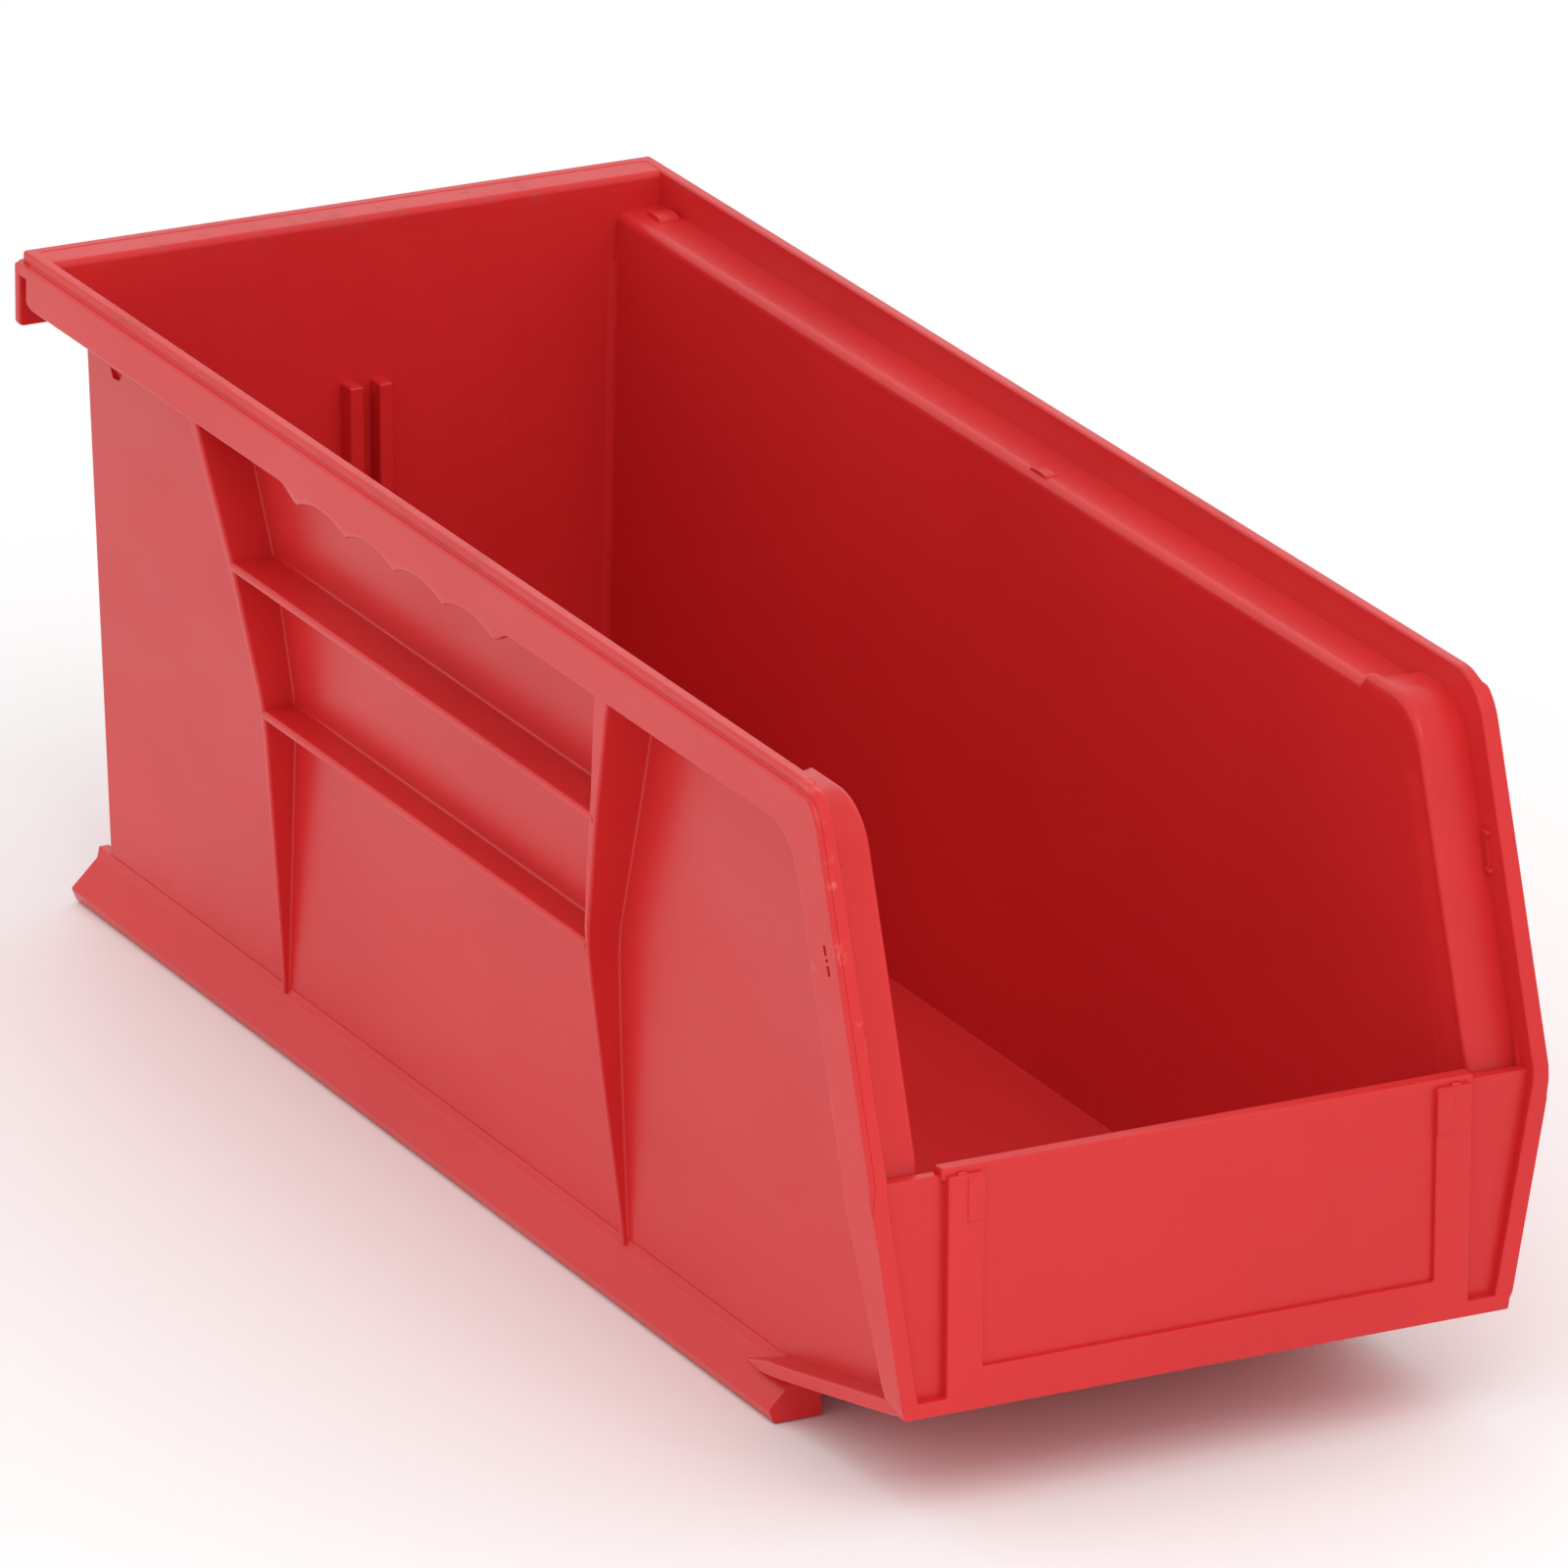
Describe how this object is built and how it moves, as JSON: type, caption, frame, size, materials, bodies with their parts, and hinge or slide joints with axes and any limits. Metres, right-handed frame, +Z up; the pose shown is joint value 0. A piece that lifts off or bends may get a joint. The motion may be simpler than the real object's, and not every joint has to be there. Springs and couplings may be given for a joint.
{
  "type": "stackable storage bin",
  "caption": "Open-front plastic parts bin with a rolled rim, stacking ledges, hanging lip, ribbed sides with finger grips, foot rails and a front label holder.",
  "frame": {"origin": "centre of the bounding box's bottom face, on the plane the foot rails stand on", "axes": "+X across the width, -Y towards the open front, +Z up"},
  "size_m": [0.1048, 0.2762, 0.1016],
  "materials": {
    "red_plastic": "moulded polypropylene, glossy with light handling wear"
  },
  "bodies": {
    "root": {"back_wall": "red_plastic", "floor_panel": "red_plastic", "floor_ramp": "red_plastic", "front_wall": "red_plastic", "hanging_lip": "red_plastic", "label_bottom_rail": "red_plastic", "left_base_strip": "red_plastic", "left_divider_guide": "red_plastic", "left_finger_grip": "red_plastic", "left_foot_rail": "red_plastic", "left_front_edge": "red_plastic", "left_front_gusset": "red_plastic", "left_front_stop": "red_plastic", "left_label_rail": "red_plastic", "left_lower_shelf": "red_plastic", "left_middle_stop": "red_plastic", "left_rear_gusset": "red_plastic", "left_rear_stop": "red_plastic", "left_rim_flange": "red_plastic", "left_side_wall": "red_plastic", "left_stacking_ledge": "red_plastic", "left_upper_shelf": "red_plastic", "rear_rim": "red_plastic", "right_base_strip": "red_plastic", "right_divider_guide": "red_plastic", "right_finger_grip": "red_plastic", "right_foot_rail": "red_plastic", "right_front_edge": "red_plastic", "right_front_gusset": "red_plastic", "right_front_stop": "red_plastic", "right_label_rail": "red_plastic", "right_lower_shelf": "red_plastic", "right_middle_stop": "red_plastic", "right_rear_gusset": "red_plastic", "right_rear_stop": "red_plastic", "right_rim_flange": "red_plastic", "right_side_wall": "red_plastic", "right_stacking_ledge": "red_plastic", "right_upper_shelf": "red_plastic"}
  },
  "joints": []
}
